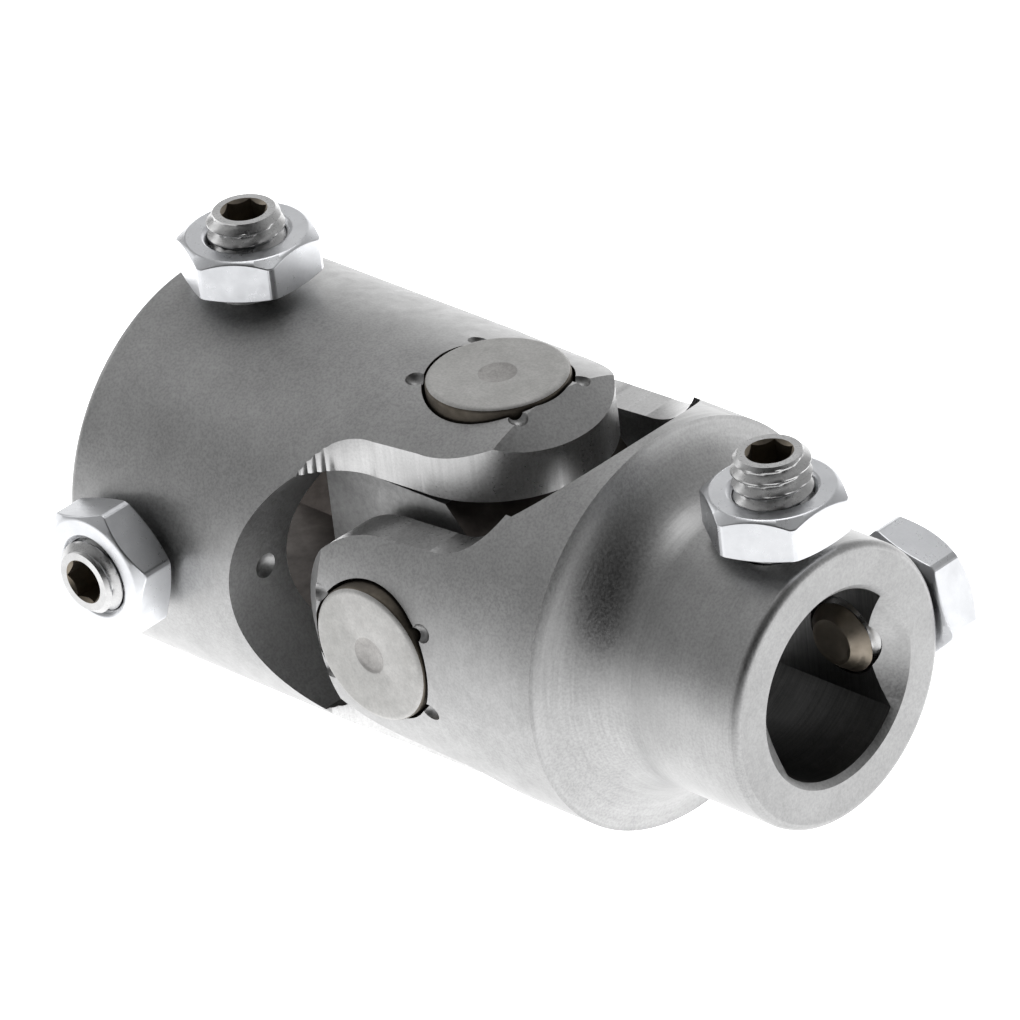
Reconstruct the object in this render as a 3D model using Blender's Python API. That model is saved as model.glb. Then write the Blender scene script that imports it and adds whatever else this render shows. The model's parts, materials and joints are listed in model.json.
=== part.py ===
"""Steering universal joint: two turned steel yokes, a block-bodied cross and four needle bearings.

The shaft line is the X axis. The large-bore yoke reaches towards -X with its ears above and
below, the small-bore yoke reaches towards +X with its ears in front (-Y) and behind (+Y).
Each yoke is clamped to its shaft by two socket set screws, each locked by a jam nut.
The part lies on its side: Z = 0 is the surface that it rests on, and X = Y = 0 is the middle
of its bounding box.
"""

from math import acos, asin, cos, pi, radians, sin, sqrt

import bmesh
import bpy
from mathutils import Matrix, Vector

MM = 0.001

# Overall sizes
YOKE_RADIUS = 20.6375 * MM
HALF_LENGTH = 41.275 * MM
HUB_RADIUS = 14.2875 * MM
GAP = 0.3 * MM
OVERSHOOT = 1.0 * MM
TOOL_REACH = 30.0 * MM
BORE_TOOL_RUN_IN = 9.0 * MM
HOLE_INNER_END = 10.0 * MM
HOLE_OUTER_END = 24.0 * MM
SCREW_HOLE_START = 2.0 * MM

# Bores: round with two flats ("double D")
LARGE_BORE_RADIUS = 12.7 * MM
LARGE_BORE_FLAT = 10.2 * MM
SMALL_BORE_RADIUS = 9.525 * MM
SMALL_BORE_FLAT = 7.3 * MM
MOUTH_CHAMFER = 0.6 * MM
RIM_ROUND = 0.9 * MM

# Ears, seen along the pin that they carry
EAR_RADIUS = 11.2 * MM
EAR_CENTRE = 0.3 * MM
EAR_ROOT_HALF_WIDTH = 11.65 * MM
EAR_ROOT_X = 6.0 * MM
EAR_FILLET = 7.6 * MM
TIP_CHAMFER_START = 7.1 * MM
TIP_CHAMFER_SLOPE = 0.787

# Throat between the ears, seen across them
EAR_INNER_FACE = 13.1 * MM
THROAT_RADIUS = 16.8 * MM
LARGE_THROAT_FLOOR = 19.1 * MM
SMALL_THROAT_FLOOR = 19.8 * MM
THROAT_RELIEF_RADIUS = 18.0 * MM

# Shoulder between the small yoke's throat and its hub
SHOULDER_START = 20.9 * MM
SHOULDER_END = 28.2 * MM

# Needle bearings
CUP_HOLE_RADIUS = 7.4 * MM
CUP_RADIUS = 7.05 * MM
CUP_BORE_RADIUS = 6.05 * MM
CUP_FACE = 20.95 * MM
CUP_END_WALL = 1.6 * MM
CUP_MOUTH = 13.95 * MM
DIMPLE_RADIUS = 1.9 * MM
DIMPLE_DEPTH = 0.25 * MM
NEEDLE_COUNT = 20
NEEDLE_INNER_RADIUS = 4.55 * MM
NEEDLE_OUTER_RADIUS = 5.85 * MM
NEEDLE_ENDS = (14.2 * MM, 18.3 * MM)
SEAL_RADII = (4.6 * MM, 7.05 * MM)
SEAL_ENDS = (12.85 * MM, 13.65 * MM)

# Cross
TRUNNION_RADIUS = 4.3 * MM
TRUNNION_END = 18.5 * MM
BLOCK_HALF_HEIGHT = 12.5 * MM
BLOCK_HALF_DEPTH = 10.9 * MM
BLOCK_BACK = -13.9 * MM
BLOCK_SHOULDER = 2.3 * MM
BLOCK_NOSE = 9.0 * MM
BLOCK_NOSE_HALF_HEIGHT = 5.0 * MM
THRUST_RING_RADIUS = 6.0 * MM
THRUST_RING_END = 12.5 * MM
TRUNNION_CHAMFER = 0.5 * MM

# Set screws (5/16 in) and jam nuts (1/2 in across the flats)
SCREW_RADIUS = 3.8 * MM
SCREW_LENGTH = 15.9 * MM
SCREW_TIP_CHAMFER = 1.4 * MM
SCREW_END_CHAMFER = 0.7 * MM
SCREW_HOLE_RADIUS = 4.1 * MM
SOCKET_ACROSS_FLATS = 3.97 * MM
SOCKET_DEPTH = 4.5 * MM
NUT_ACROSS_FLATS = 12.7 * MM
NUT_THICKNESS = 4.5 * MM
LOOSE_NUT_GAP = 1.1 * MM
FRONT_NUT_GAP = 0.5 * MM
NUT_CHAMFER_SLOPE = 0.68
NUT_FACE_RADIUS = 6.05 * MM
LARGE_SCREW_X = -33.0 * MM
SMALL_SCREW_X = 35.3 * MM

# Outer end of each set screw, measured from the shaft line, and the turn of its nut
FRONT_REACH = 26.9 * MM
BACK_REACH = 21.6 * MM
FASTENERS = {
    "large_top": (LARGE_SCREW_X, "up", YOKE_RADIUS + LOOSE_NUT_GAP, 28.7 * MM, radians(33)),
    "large_front": (LARGE_SCREW_X, "front", YOKE_RADIUS + FRONT_NUT_GAP, FRONT_REACH, radians(15.7)),
    "small_top": (SMALL_SCREW_X, "up", HUB_RADIUS + LOOSE_NUT_GAP, 23.75 * MM, radians(26.5)),
    "small_back": (SMALL_SCREW_X, "back", HUB_RADIUS + GAP, BACK_REACH, radians(15)),
}
JOINT_CENTRE = Vector((-0.3 * MM, (FRONT_REACH - BACK_REACH) / 2, CUP_FACE))

# Turns that carry a piece made along +X or +Y to where it belongs
OUTWARD = {
    "up": Matrix.Rotation(0.0, 4, "X"),
    "down": Matrix.Rotation(pi, 4, "X"),
    "front": Matrix.Rotation(pi / 2, 4, "X"),
    "back": Matrix.Rotation(-pi / 2, 4, "X"),
}
LARGE_YOKE_TURN = Matrix.Rotation(pi, 4, "Z") @ Matrix.Rotation(pi / 2, 4, "X")


def clear_scene():
    for old in list(bpy.data.objects):
        bpy.data.objects.remove(old, do_unlink=True)


def material(name, colour, roughness, metallic):
    made = bpy.data.materials.new(name)
    made.use_nodes = True
    shader = made.node_tree.nodes["Principled BSDF"]
    shader.inputs["Base Color"].default_value = (*colour, 1.0)
    shader.inputs["Roughness"].default_value = roughness
    shader.inputs["Metallic"].default_value = metallic
    return made


def arc(centre, radius, start, end, steps):
    """Points along an arc, both ends included."""
    return [
        (
            centre[0] + radius * cos(start + (end - start) * i / steps),
            centre[1] + radius * sin(start + (end - start) * i / steps),
        )
        for i in range(steps + 1)
    ]


def link(bm, name, turn, parent, finish):
    """Turn a finished mesh into an object that hangs on the joint centre."""
    bmesh.ops.recalc_face_normals(bm, faces=bm.faces)
    mesh = bpy.data.meshes.new(name)
    bm.to_mesh(mesh)
    bm.free()
    mesh.shade_smooth()
    mesh.set_sharp_from_angle(angle=radians(30))
    made = bpy.data.objects.new(name, mesh)
    bpy.context.scene.collection.objects.link(made)
    made.parent = parent
    made.matrix_local = turn
    if finish:
        made.data.materials.append(finish)
    return made


def lathe(profile, segments, phase=0.0):
    """A body turned about the local X axis from (x, radius) points that start and end at radius 0."""
    bm = bmesh.new()
    rings = []
    for x, radius in profile:
        if radius < 1e-9:
            rings.append([bm.verts.new((x, 0.0, 0.0))])
            continue
        ring = []
        for i in range(segments):
            angle = 2 * pi * (i + phase) / segments
            ring.append(bm.verts.new((x, radius * cos(angle), radius * sin(angle))))
        rings.append(ring)
    for low, high in zip(rings, rings[1:]):
        for i in range(segments):
            j = (i + 1) % segments
            corners = [low[i % len(low)], low[j % len(low)], high[j % len(high)], high[i % len(high)]]
            bm.faces.new(list(dict.fromkeys(corners)))
    return bm


def prism(outline, low, high, axis):
    """An outline extruded along X, Y or Z; its points lie along the two other axes, in order."""
    bm = bmesh.new()
    place = {
        "X": lambda a, b, c: (c, a, b),
        "Y": lambda a, b, c: (a, c, b),
        "Z": lambda a, b, c: (a, b, c),
    }[axis]
    bottom = [bm.verts.new(place(a, b, low)) for a, b in outline]
    top = [bm.verts.new(place(a, b, high)) for a, b in outline]
    count = len(outline)
    bm.faces.new(bottom)
    bm.faces.new(top)
    for i in range(count):
        j = (i + 1) % count
        bm.faces.new([bottom[i], bottom[j], top[j], top[i]])
    return bm


def cutter(bm, name, turn, parent):
    made = link(bm, name, turn, parent, None)
    made.hide_render = True
    made.display_type = "WIRE"
    return made


def boolean(target, tool, operation):
    step = target.modifiers.new(tool.name, "BOOLEAN")
    step.operation = operation
    step.solver = "EXACT"
    step.object = tool


def ear_outline():
    """Both ears and the shank behind them, seen along the pin; X towards the shank."""
    far = 50 * MM
    wide = 25 * MM
    fillet_centre = (EAR_ROOT_X, EAR_ROOT_HALF_WIDTH + EAR_FILLET)
    upper = arc((EAR_CENTRE, 0.0), EAR_RADIUS, pi, pi / 2, 16)
    upper += arc(fillet_centre, EAR_FILLET, -pi / 2, 0.0, 9)
    upper += [(EAR_ROOT_X + EAR_FILLET, wide), (far, wide)]
    lower = [(x, -z) for x, z in reversed(upper[1:])]
    return upper + lower


def throat_outline(floor):
    """The slot between the ears, seen across them; X towards the shank."""
    centre = floor - THROAT_RADIUS
    half_angle = asin(EAR_INNER_FACE / THROAT_RADIUS)
    outline = arc((centre, 0.0), THROAT_RADIUS, -half_angle, half_angle, 18)
    return [(-30 * MM, -EAR_INNER_FACE)] + outline + [(-30 * MM, EAR_INNER_FACE)]


def double_d(radius, flat):
    """The bore's outline across the shaft line, with its flats facing the ears."""
    half_angle = asin(flat / radius)
    right = arc((0.0, 0.0), radius, -half_angle, half_angle, 14)
    left = [(-z, y) for z, y in reversed(right)]
    return [(y, z) for z, y in right + left]


def tip_profile():
    """The turned chamfer on the ears' tips."""
    end = -11.6 * MM
    end_radius = YOKE_RADIUS - TIP_CHAMFER_SLOPE * (-TIP_CHAMFER_START - end)
    return [(end, 0.0), (end, end_radius), (-TIP_CHAMFER_START, YOKE_RADIUS)]


def rim_profile(radius):
    """The rounded outer corner at the shaft end of a yoke, and its flat end face."""
    corner = arc((HALF_LENGTH - RIM_ROUND, radius - RIM_ROUND), RIM_ROUND, pi / 2, 0.0, 4)
    return corner + [(HALF_LENGTH, 0.0)]


def small_shoulder():
    """The concave flare from the outside diameter down to the hub."""
    drop = YOKE_RADIUS - HUB_RADIUS
    run = SHOULDER_END - SHOULDER_START
    radius = (run * run + drop * drop) / (2 * drop)
    start = acos((radius - drop) / radius)
    return arc((SHOULDER_END, HUB_RADIUS + radius), radius, -pi / 2 - start, -pi / 2, 8)


def yoke(name, turn, parent, finish, body_profile, floor, bore, flat, relief, screw_x, screw_ways):
    """One yoke, made with its shank along +X and its ears at +Y and -Y, then turned into place."""
    made = link(lathe(body_profile, 72, 0.5), name, turn, parent, finish)
    reach = TOOL_REACH
    ears = cutter(prism(ear_outline(), -reach, reach, "Y"), f"{name}_ear_shape", turn, parent)
    boolean(made, ears, "INTERSECT")
    throat = cutter(prism(throat_outline(floor), -reach, reach, "Z"), f"{name}_throat", turn, parent)
    boolean(made, throat, "DIFFERENCE")
    if relief:
        pocket = arc((0.0, 0.0), THROAT_RELIEF_RADIUS, 0.0, 2 * pi, 64)[:-1]
        half_height = EAR_INNER_FACE - 0.02 * MM
        pocket_cutter = prism(pocket, -half_height, half_height, "Z")
        across = turn @ Matrix.Rotation(pi / 2, 4, "X")
        boolean(made, cutter(pocket_cutter, f"{name}_relief", across, parent), "DIFFERENCE")
    bore_cutter = prism(double_d(bore, flat), floor - BORE_TOOL_RUN_IN, HALF_LENGTH + OVERSHOOT, "X")
    boolean(made, cutter(bore_cutter, f"{name}_bore", turn, parent), "DIFFERENCE")
    mouth_end = HALF_LENGTH + OVERSHOOT
    mouth_depth = bore - flat + MOUTH_CHAMFER
    mouth = [
        (HALF_LENGTH - mouth_depth, 0.0),
        (HALF_LENGTH - mouth_depth, flat),
        (mouth_end, flat + mouth_depth + OVERSHOOT),
        (mouth_end, 0.0),
    ]
    boolean(made, cutter(lathe(mouth, 56, 0.5), f"{name}_mouth", turn, parent), "DIFFERENCE")
    for way, side in (("up", 1), ("down", -1)):
        hole = arc((0.0, 0.0), CUP_HOLE_RADIUS, 0.0, 2 * pi, 40)[:-1]
        low, high = sorted((side * HOLE_INNER_END, side * HOLE_OUTER_END))
        boolean(made, cutter(prism(hole, low, high, "Y"), f"{name}_cup_hole_{way}", turn, parent), "DIFFERENCE")
    for way in screw_ways:
        hole = arc((0.0, 0.0), SCREW_HOLE_RADIUS, 0.0, 2 * pi, 24)[:-1]
        place = Matrix.Translation((screw_x, 0.0, 0.0)) @ OUTWARD[way]
        tool = cutter(prism(hole, SCREW_HOLE_START, HOLE_OUTER_END, "Z"), f"{name}_screw_hole_{way}", place, parent)
        boolean(made, tool, "DIFFERENCE")
    return made


def ring_outline(radius, ripple, waves, points_per_wave):
    count = waves * points_per_wave
    outline = []
    for i in range(count):
        angle = 2 * pi * i / count
        local = radius + ripple * abs(cos(waves * angle / 2))
        outline.append((local * cos(angle), local * sin(angle)))
    return outline


def tube(inner, outer, low, high):
    """A straight tube along Z whose two outlines have the same number of points."""
    bm = bmesh.new()
    loops = []
    for outline, z in ((inner, low), (outer, low), (outer, high), (inner, high)):
        loops.append([bm.verts.new((x, y, z)) for x, y in outline])
    count = len(inner)
    for k in range(4):
        now, after = loops[k], loops[(k + 1) % 4]
        for i in range(count):
            j = (i + 1) % count
            bm.faces.new([now[i], now[j], after[j], after[i]])
    return bm


def circle(radius, count):
    return arc((0.0, 0.0), radius, 0.0, 2 * pi, count)[:-1]


def along_z(bm):
    """Stand a body that was turned about X up along Z."""
    bmesh.ops.rotate(bm, verts=bm.verts, matrix=Matrix.Rotation(-pi / 2, 3, "Y"))
    return bm


def bearing_cup(name, way, parent, finish):
    edge = 0.5 * MM
    floor = CUP_FACE - CUP_END_WALL
    profile = [
        (floor, 0.0),
        (floor, CUP_BORE_RADIUS),
        (CUP_MOUTH, CUP_BORE_RADIUS),
        (CUP_MOUTH, CUP_RADIUS),
        (CUP_FACE - edge, CUP_RADIUS),
        (CUP_FACE, CUP_RADIUS - edge),
        (CUP_FACE, DIMPLE_RADIUS),
        (CUP_FACE - DIMPLE_DEPTH, DIMPLE_RADIUS * 0.8),
        (CUP_FACE - DIMPLE_DEPTH, 0.0),
    ]
    return link(along_z(lathe(profile, 30)), name, OUTWARD[way], parent, finish)


def needle_rollers(name, way, parent, finish):
    ripple = 0.14 * MM
    inner = ring_outline(NEEDLE_INNER_RADIUS + ripple, -ripple, NEEDLE_COUNT, 2)
    outer = ring_outline(NEEDLE_OUTER_RADIUS - ripple, ripple, NEEDLE_COUNT, 2)
    return link(tube(inner, outer, *NEEDLE_ENDS), name, OUTWARD[way], parent, finish)


def seal(name, way, parent, finish):
    inner, outer = SEAL_RADII
    bm = tube(circle(inner, 28), circle(outer, 28), *SEAL_ENDS)
    return link(bm, name, OUTWARD[way], parent, finish)


def bearing_cross(name, parent, finish):
    """The block with its chamfered nose towards the small yoke, and its four trunnions."""
    upper = [
        (BLOCK_NOSE, BLOCK_NOSE_HALF_HEIGHT),
        (BLOCK_SHOULDER, BLOCK_HALF_HEIGHT),
        (BLOCK_BACK, BLOCK_HALF_HEIGHT),
    ]
    outline = upper + [(x, -z) for x, z in reversed(upper)]
    block = prism(outline, -BLOCK_HALF_DEPTH, BLOCK_HALF_DEPTH, "Y")
    made = link(block, name, Matrix.Identity(4), parent, finish)
    half_pin = [
        (THRUST_RING_END, TRUNNION_RADIUS),
        (TRUNNION_END - TRUNNION_CHAMFER, TRUNNION_RADIUS),
        (TRUNNION_END, TRUNNION_RADIUS - TRUNNION_CHAMFER),
        (TRUNNION_END, 0.0),
    ]
    half_ringed_pin = [(THRUST_RING_END, THRUST_RING_RADIUS)] + half_pin
    for way, half in (("up", half_pin[1:]), ("front", half_ringed_pin)):
        profile = [(-x, radius) for x, radius in reversed(half)] + half
        pin = cutter(along_z(lathe(profile, 40)), f"{name}_pin_{way}", OUTWARD[way], parent)
        boolean(made, pin, "UNION")
    return made


def set_screw(name, place, reach, parent, finish):
    """A socket set screw along +Z with its outer end at the given reach."""
    tip = reach - SCREW_LENGTH
    profile = [
        (tip, 0.0),
        (tip, SCREW_RADIUS - SCREW_TIP_CHAMFER),
        (tip + SCREW_TIP_CHAMFER, SCREW_RADIUS),
        (reach - SCREW_END_CHAMFER, SCREW_RADIUS),
        (reach, SCREW_RADIUS - SCREW_END_CHAMFER),
        (reach, 0.0),
    ]
    made = link(along_z(lathe(profile, 24)), name, place, parent, finish)
    corner = SOCKET_ACROSS_FLATS / sqrt(3)
    socket = prism(circle(corner, 6), reach - SOCKET_DEPTH, reach + OVERSHOOT, "Z")
    boolean(made, cutter(socket, f"{name}_socket", place, parent), "DIFFERENCE")
    return made


def jam_nut(name, place, low, angle, parent, finish):
    """A hexagon nut along +Z from the given height, with both faces chamfered."""
    corner = NUT_ACROSS_FLATS / sqrt(3)
    high = low + NUT_THICKNESS
    turned = place @ Matrix.Rotation(angle, 4, "Z")
    made = link(prism(circle(corner, 6), low, high, "Z"), name, turned, parent, finish)
    drop = NUT_CHAMFER_SLOPE * (corner + OVERSHOOT - NUT_FACE_RADIUS)
    cone = [
        (low, 0.0),
        (low, NUT_FACE_RADIUS),
        (low + drop, corner + OVERSHOOT),
        (high - drop, corner + OVERSHOOT),
        (high, NUT_FACE_RADIUS),
        (high, 0.0),
    ]
    boolean(made, cutter(along_z(lathe(cone, 24)), f"{name}_chamfers", turned, parent), "INTERSECT")
    hole = prism(circle(SCREW_HOLE_RADIUS, 24), low - OVERSHOOT, high + OVERSHOOT, "Z")
    boolean(made, cutter(hole, f"{name}_hole", turned, parent), "DIFFERENCE")
    return made


def main():
    clear_scene()
    centre = bpy.data.objects.new("joint_centre", None)
    centre.location = JOINT_CENTRE
    bpy.context.scene.collection.objects.link(centre)

    yoke_steel = material("yoke_steel", (0.40, 0.40, 0.41), 0.42, 1.0)
    cross_steel = material("cross_steel", (0.33, 0.33, 0.34), 0.45, 1.0)
    cup_steel = material("cup_steel", (0.55, 0.54, 0.52), 0.38, 1.0)
    needle_steel = material("needle_steel", (0.62, 0.62, 0.63), 0.2, 1.0)
    seal_rubber = material("seal_rubber", (0.02, 0.02, 0.02), 0.7, 0.0)
    nut_zinc = material("nut_zinc", (0.70, 0.71, 0.73), 0.22, 1.0)
    screw_steel = material("screw_steel", (0.50, 0.50, 0.50), 0.3, 1.0)

    large_body = tip_profile() + rim_profile(YOKE_RADIUS)
    yoke(
        "large_bore_yoke", LARGE_YOKE_TURN, centre, yoke_steel, large_body, LARGE_THROAT_FLOOR,
        LARGE_BORE_RADIUS, LARGE_BORE_FLAT, True, LARGE_SCREW_X, ("up", "front"),
    )
    small_body = tip_profile() + small_shoulder() + rim_profile(HUB_RADIUS)
    yoke(
        "small_bore_yoke", Matrix.Identity(4), centre, yoke_steel, small_body, SMALL_THROAT_FLOOR,
        SMALL_BORE_RADIUS, SMALL_BORE_FLAT, False, SMALL_SCREW_X, ("up", "back"),
    )
    bearing_cross("bearing_cross", centre, cross_steel)
    sides = {"top": "up", "bottom": "down", "front": "front", "back": "back"}
    for side, way in sides.items():
        bearing_cup(f"{side}_bearing_cup", way, centre, cup_steel)
        needle_rollers(f"{side}_needle_rollers", way, centre, needle_steel)
        seal(f"{side}_seal", way, centre, seal_rubber)
    for side, (x, way, nut_foot, reach, angle) in FASTENERS.items():
        place = Matrix.Translation((x, 0.0, 0.0)) @ OUTWARD[way]
        set_screw(f"{side}_set_screw", place, reach, centre, screw_steel)
        jam_nut(f"{side}_jam_nut", place, nut_foot, angle, centre, nut_zinc)


main()
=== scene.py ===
"""Looks for the steering universal joint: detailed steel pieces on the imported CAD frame."""

import json
from math import acos, asin, cos, hypot, pi, radians, sin, sqrt

import bmesh
import bpy
from mathutils import Matrix, Vector


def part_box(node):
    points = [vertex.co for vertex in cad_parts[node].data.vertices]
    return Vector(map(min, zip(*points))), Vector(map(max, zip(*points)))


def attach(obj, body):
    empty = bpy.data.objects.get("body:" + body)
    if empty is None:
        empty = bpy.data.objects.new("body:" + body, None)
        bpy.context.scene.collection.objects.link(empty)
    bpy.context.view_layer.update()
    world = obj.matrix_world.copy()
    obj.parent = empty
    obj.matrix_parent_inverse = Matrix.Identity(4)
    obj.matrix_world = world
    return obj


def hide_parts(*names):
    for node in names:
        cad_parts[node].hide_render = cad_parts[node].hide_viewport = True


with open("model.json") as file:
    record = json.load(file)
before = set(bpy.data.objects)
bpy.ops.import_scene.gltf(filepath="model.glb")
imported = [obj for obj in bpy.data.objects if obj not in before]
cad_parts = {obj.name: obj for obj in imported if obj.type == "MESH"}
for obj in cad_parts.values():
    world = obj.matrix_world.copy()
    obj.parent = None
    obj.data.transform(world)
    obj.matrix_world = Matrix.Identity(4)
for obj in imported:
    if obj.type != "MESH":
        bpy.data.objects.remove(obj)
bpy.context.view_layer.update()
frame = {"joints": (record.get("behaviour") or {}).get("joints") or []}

MM = 0.001
JOINTS = {joint["name"]: joint for joint in frame["joints"]}
CENTRE = Vector(JOINTS["cross_turn"]["pos_m"])

# Sizes shared with the CAD model
large_low, large_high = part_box("large_bore_yoke")
YOKE_RADIUS = 20.6375 * MM
HALF_LENGTH = CENTRE.x - large_low.x
HUB_RADIUS = 14.2875 * MM
LARGE_BORE = (12.7 * MM, 10.2 * MM)
SMALL_BORE = (9.525 * MM, 7.3 * MM)
MOUTH_CHAMFER = 0.6 * MM
RIM_ROUND = 0.9 * MM
EAR_RADIUS = 11.2 * MM
EAR_CENTRE = 0.3 * MM
EAR_ROOT_HALF_WIDTH = 11.65 * MM
EAR_ROOT_X = 6.0 * MM
EAR_FILLET = 7.6 * MM
TIP_CHAMFER_START = 7.1 * MM
TIP_CHAMFER_SLOPE = 0.787
EAR_INNER_FACE = 13.1 * MM
THROAT_RADIUS = 16.8 * MM
LARGE_THROAT_FLOOR = 19.1 * MM
SMALL_THROAT_FLOOR = 19.8 * MM
THROAT_RELIEF_RADIUS = 18.0 * MM
SHOULDER_START = 20.9 * MM
SHOULDER_END = 28.2 * MM
CUP_HOLE_RADIUS = 7.4 * MM
CUP_RADIUS = 7.05 * MM
CUP_BORE_RADIUS = 6.05 * MM
CUP_FACE = 20.95 * MM
CUP_END_WALL = 1.6 * MM
CUP_MOUTH = 13.95 * MM
DIMPLE_RADIUS = 1.9 * MM
TRUNNION_RADIUS = 4.3 * MM
TRUNNION_END = 18.5 * MM
TRUNNION_CHAMFER = 0.5 * MM
BLOCK_HALF_HEIGHT = 12.5 * MM
BLOCK_HALF_DEPTH = 10.9 * MM
BLOCK_BACK = -13.9 * MM
BLOCK_SHOULDER = 2.3 * MM
BLOCK_NOSE = 9.0 * MM
BLOCK_NOSE_HALF_HEIGHT = 5.0 * MM
THRUST_RING_RADIUS = 6.0 * MM
THRUST_RING_END = 12.5 * MM
NEEDLE_COUNT = 20
NEEDLE_ENDS = (14.2 * MM, 18.3 * MM)
NEEDLE_RADIUS = 0.62 * MM
NEEDLE_CIRCLE_RADIUS = 5.2 * MM
SEAL_RADII = (4.6 * MM, 7.05 * MM)
SEAL_ENDS = (12.85 * MM, 13.65 * MM)
OVERSHOOT = 1.0 * MM
TOOL_REACH = 30.0 * MM
BORE_TOOL_RUN_IN = 9.0 * MM
HOLE_INNER_END = 10.0 * MM
HOLE_OUTER_END = 24.0 * MM
SCREW_HOLE_START = 2.0 * MM
SOCKET_DEPTH = 4.5 * MM
SCREW_LENGTH = 15.9 * MM
THREAD_PITCH = 1.411 * MM
THREAD_MAJOR = 3.85 * MM
THREAD_MINOR = 3.1 * MM
SCREW_HOLE_RADIUS = 4.1 * MM
SOCKET_ACROSS_FLATS = 3.97 * MM
NUT_ACROSS_FLATS = 12.7 * MM
NUT_THICKNESS = 4.5 * MM
LOOSE_NUT_GAP = 1.1 * MM
FRONT_NUT_GAP = 0.5 * MM
BACK_NUT_GAP = 0.3 * MM
NUT_CHAMFER_SLOPE = 0.68
NUT_FACE_RADIUS = 6.05 * MM
NUT_SEAT_CHAMFER_SLOPE = 0.35
NUT_HOLE_RADIUS = 3.92 * MM
LARGE_SCREW_X = -33.0 * MM
SMALL_SCREW_X = 35.3 * MM

# Where the camera stands, and how it is turned
CAMERA_AZIMUTH = radians(46.86)
CAMERA_ELEVATION = radians(30.26)
CAMERA_ROLL = radians(-6.75)
CAMERA_DISTANCE = 0.895
CAMERA_RIGHT_SHIFT = -0.93 * MM
CAMERA_UP_SHIFT = 4.85 * MM
IMAGE_WIDTH = 1020
FOCAL_LENGTH_IN_IMAGE_WIDTHS = 9295 / IMAGE_WIDTH
SENSOR_WIDTH = 36.0
TO_CAMERA = (
    sin(CAMERA_AZIMUTH) * cos(CAMERA_ELEVATION),
    -cos(CAMERA_AZIMUTH) * cos(CAMERA_ELEVATION),
    sin(CAMERA_ELEVATION),
)

# Foot of each nut and outer end of each set screw, from the shaft line, and the turn of its nut
FASTENERS = {
    "large_top": (LARGE_SCREW_X, "up", YOKE_RADIUS + LOOSE_NUT_GAP, 28.7 * MM, radians(33)),
    "large_front": (LARGE_SCREW_X, "front", YOKE_RADIUS + FRONT_NUT_GAP, 26.9 * MM, radians(15.7)),
    "small_top": (SMALL_SCREW_X, "up", HUB_RADIUS + LOOSE_NUT_GAP, 23.75 * MM, radians(26.5)),
    "small_back": (SMALL_SCREW_X, "back", HUB_RADIUS + BACK_NUT_GAP, 21.6 * MM, radians(15)),
}
OUTWARD = {
    "up": Matrix.Rotation(0.0, 4, "X"),
    "down": Matrix.Rotation(pi, 4, "X"),
    "front": Matrix.Rotation(pi / 2, 4, "X"),
    "back": Matrix.Rotation(-pi / 2, 4, "X"),
}
LARGE_YOKE_TURN = Matrix.Rotation(pi, 4, "Z") @ Matrix.Rotation(pi / 2, 4, "X")


# ---------------------------------------------------------------- materials


def new_material(name):
    made = bpy.data.materials.new(name)
    made.use_nodes = True
    tree = made.node_tree
    shader = tree.nodes["Principled BSDF"]
    return made, tree, shader


def ramp(tree, source, stops):
    """Map a 0..1 value through grey or coloured stops."""
    made = tree.nodes.new("ShaderNodeValToRGB")
    elements = made.color_ramp.elements
    while len(elements) < len(stops):
        elements.new(0.5)
    for element, (position, colour) in zip(elements, stops):
        element.position = position
        if isinstance(colour, (int, float)):
            colour = (colour, colour, colour)
        element.color = (*colour, 1.0)
    tree.links.new(source, made.inputs["Fac"])
    return made.outputs["Color"]


def noise(tree, vector, scale, detail=3.0, roughness=0.55):
    made = tree.nodes.new("ShaderNodeTexNoise")
    made.inputs["Scale"].default_value = scale
    made.inputs["Detail"].default_value = detail
    made.inputs["Roughness"].default_value = roughness
    tree.links.new(vector, made.inputs["Vector"])
    return made.outputs["Fac"]


def stretched(tree, scale):
    """Object coordinates, stretched so that noise becomes fine lines."""
    coords = tree.nodes.new("ShaderNodeTexCoord")
    mapping = tree.nodes.new("ShaderNodeMapping")
    mapping.inputs["Scale"].default_value = scale
    tree.links.new(coords.outputs["Object"], mapping.inputs["Vector"])
    return mapping.outputs["Vector"]


def mixed(tree, kind, factor, first, second):
    made = tree.nodes.new("ShaderNodeMix")
    made.data_type = "RGBA"
    made.blend_type = kind
    for key, value in ((0, factor), (6, first), (7, second)):
        if isinstance(value, bpy.types.NodeSocket):
            tree.links.new(value, made.inputs[key])
        elif isinstance(value, tuple):
            made.inputs[key].default_value = (*value, 1.0)
        else:
            made.inputs[key].default_value = value
    return made.outputs[2]


def math_node(tree, operation, first, second):
    made = tree.nodes.new("ShaderNodeMath")
    made.operation = operation
    for key, value in ((0, first), (1, second)):
        if isinstance(value, bpy.types.NodeSocket):
            tree.links.new(value, made.inputs[key])
        else:
            made.inputs[key].default_value = value
    return made.outputs[0]


def bump(tree, shader, height, strength, distance):
    made = tree.nodes.new("ShaderNodeBump")
    made.inputs["Strength"].default_value = strength
    made.inputs["Distance"].default_value = distance
    tree.links.new(height, made.inputs["Height"])
    tree.links.new(made.outputs["Normal"], shader.inputs["Normal"])


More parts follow.
